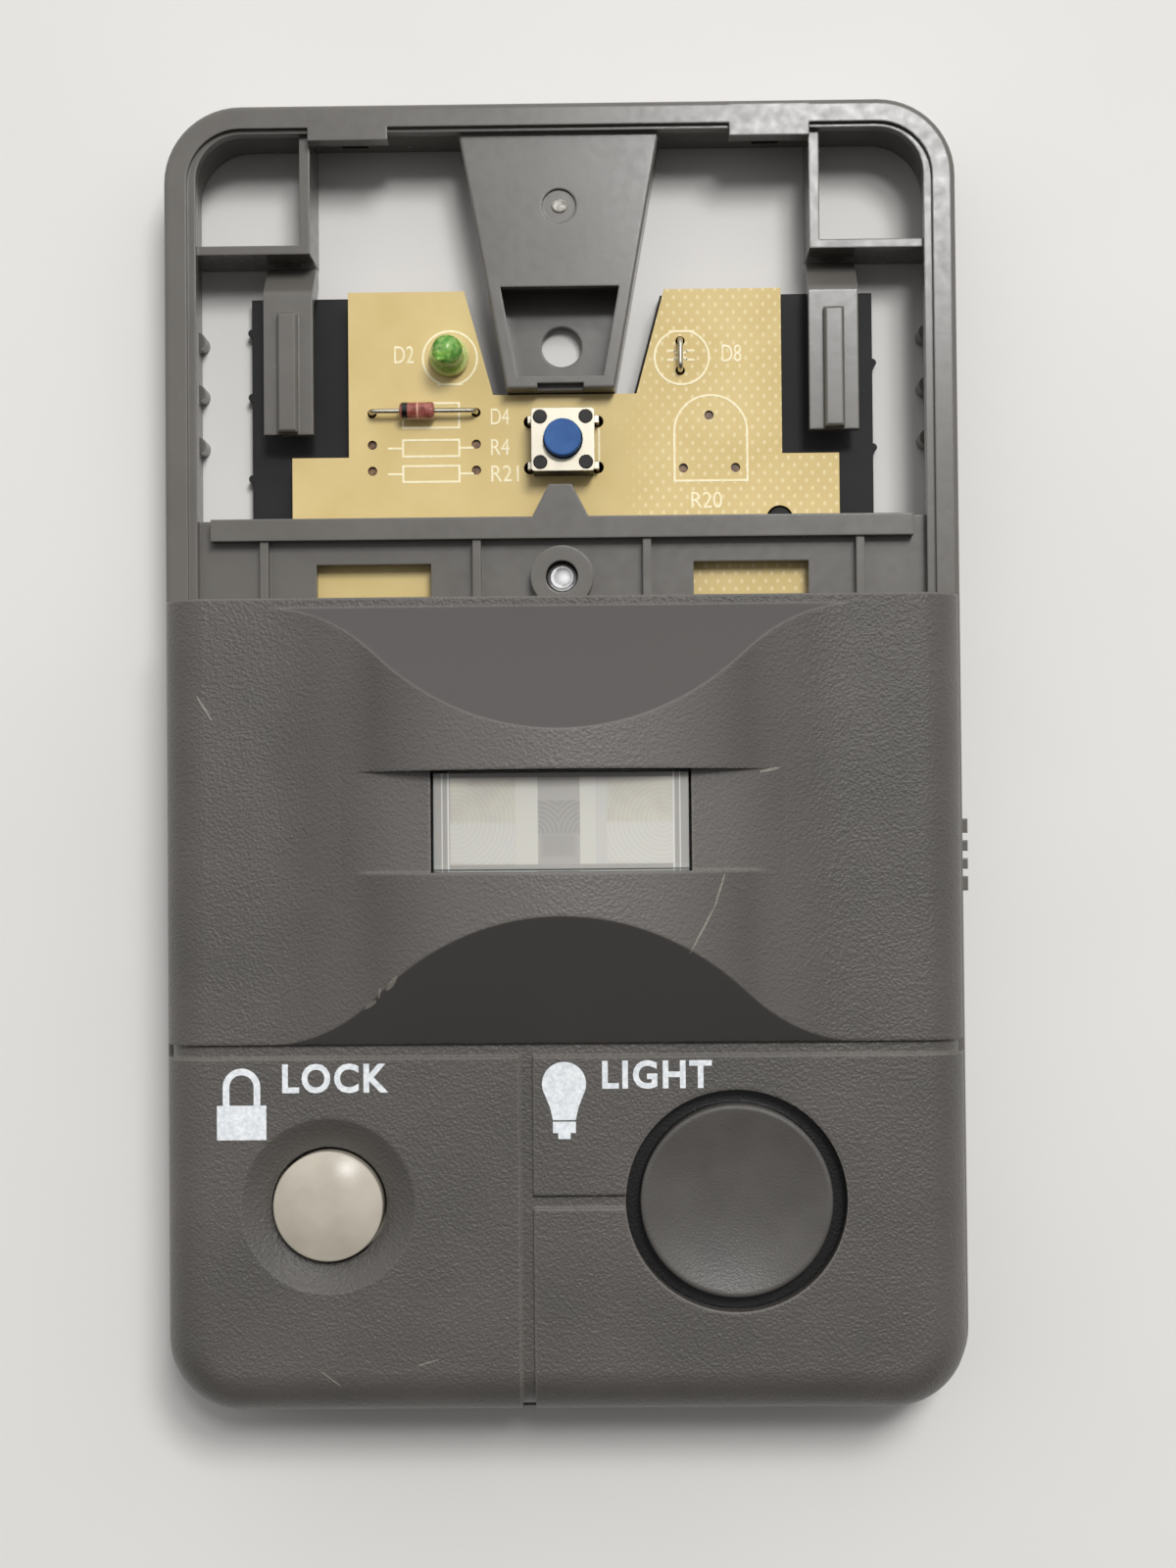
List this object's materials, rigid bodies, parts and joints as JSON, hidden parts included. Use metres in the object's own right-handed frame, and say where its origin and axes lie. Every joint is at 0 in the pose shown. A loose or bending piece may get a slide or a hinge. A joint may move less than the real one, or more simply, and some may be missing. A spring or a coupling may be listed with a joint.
{
  "type": "garage door opener wall control panel",
  "caption": "Wall control panel of a garage door opener with a motion sensor hood, lock and light buttons, a side slider and the push bar taken off to show its board.",
  "frame": {"origin": "middle of the panel on its back face, which lies against the wall", "axes": "+Z out of the front, +Y towards the end with the wall tab, +X to the right of somebody standing before it"},
  "size_m": [0.0768, 0.125, 0.0245],
  "materials": {
    "housing_plastic": "smooth satin moulding",
    "cover_plastic": "fine leather grain",
    "button_plastic": "smooth satin",
    "lock_plastic": "smooth satin, beige",
    "black_plastic": "satin, black",
    "plunger_plastic": "satin, blue",
    "paper_laminate": "bare paper laminate with cream print",
    "lens_plastic": "milky",
    "led_plastic": "tinted clear",
    "diode_glass": "clear",
    "switch_plate": "bright tin",
    "tinned_wire": "tinned",
    "resistor_lacquer": "lacquered",
    "capacitor_sleeve": "shrink sleeve",
    "filter_glass": "dark",
    "screw_steel": "zinc plated",
    "terminal_brass": "plated"
  },
  "bodies": {
    "housing_body": {"bar_switch_body": "black_plastic", "bar_switch_legs": "tinned_wire", "bar_switch_plate": "switch_plate", "capacitor": "capacitor_sleeve", "case_screws": "screw_steel", "centre_screw": "screw_steel", "chip_pins": "tinned_wire", "circuit_board": "paper_laminate", "controller_chip": "black_plastic", "diode": "diode_glass", "diode_leads": "tinned_wire", "disc_capacitors": "resistor_lacquer", "fresnel_lens": "lens_plastic", "front_cover": "cover_plastic", "housing": "housing_plastic", "led_leads": "tinned_wire", "lens_clip": "black_plastic", "light_switch_body": "black_plastic", "light_switch_legs": "tinned_wire", "light_switch_plate": "switch_plate", "lock_switch_body": "black_plastic", "lock_switch_legs": "tinned_wire", "lock_switch_plate": "switch_plate", "rear_cover": "black_plastic", "rear_screws": "screw_steel", "resistor_leads": "tinned_wire", "resistors": "resistor_lacquer", "sensor_can": "switch_plate", "sensor_filter": "filter_glass", "sensor_header": "switch_plate", "slide_switch_body": "black_plastic", "status_led": "led_plastic", "terminal_bushes": "terminal_brass", "terminal_plates": "terminal_brass", "terminal_screws": "screw_steel", "wire_jumper": "tinned_wire"},
    "lock_button_body": {"lock_button": "lock_plastic", "lock_switch_plunger": "black_plastic"},
    "light_button_body": {"light_button": "button_plastic", "light_switch_plunger": "black_plastic"},
    "bar_plunger": {"bar_switch_plunger": "plunger_plastic"},
    "mode_slider_body": {"mode_slider": "button_plastic", "slide_actuator": "black_plastic"},
    "left_arm": {"left_spring_arm": "housing_plastic"},
    "right_arm": {"right_spring_arm": "housing_plastic"}
  },
  "joints": [
    {"name": "lock_button_press", "type": "slide", "parent": "housing_body", "child": "lock_button_body", "axis": [0, 0, -1], "range_m": [0, 0.00025], "stiffness_N_per_m": 4000, "springref_m": -0.0001},
    {"name": "light_button_press", "type": "slide", "parent": "housing_body", "child": "light_button_body", "axis": [0, 0, -1], "range_m": [0, 0.00025], "stiffness_N_per_m": 4000, "springref_m": -0.0001},
    {"name": "bar_plunger_press", "type": "slide", "parent": "housing_body", "child": "bar_plunger", "axis": [0, 0, -1], "range_m": [0, 0.00025], "stiffness_N_per_m": 4000, "springref_m": -0.0001},
    {"name": "mode_slide", "type": "slide", "parent": "housing_body", "child": "mode_slider_body", "axis": [0, -1, 0], "range_m": [0, 0.003]},
    {"name": "left_arm_flex", "type": "hinge", "parent": "housing_body", "child": "left_arm", "pos_m": [-0.0265, 0.04685, 0.0024], "axis": [1, 0, 0], "range_deg": [0, 8], "stiffness_Nm_per_rad": 0.1},
    {"name": "right_arm_flex", "type": "hinge", "parent": "housing_body", "child": "right_arm", "pos_m": [0.0265, 0.04685, 0.0024], "axis": [1, 0, 0], "range_deg": [0, 8], "stiffness_Nm_per_rad": 0.1}
  ]
}
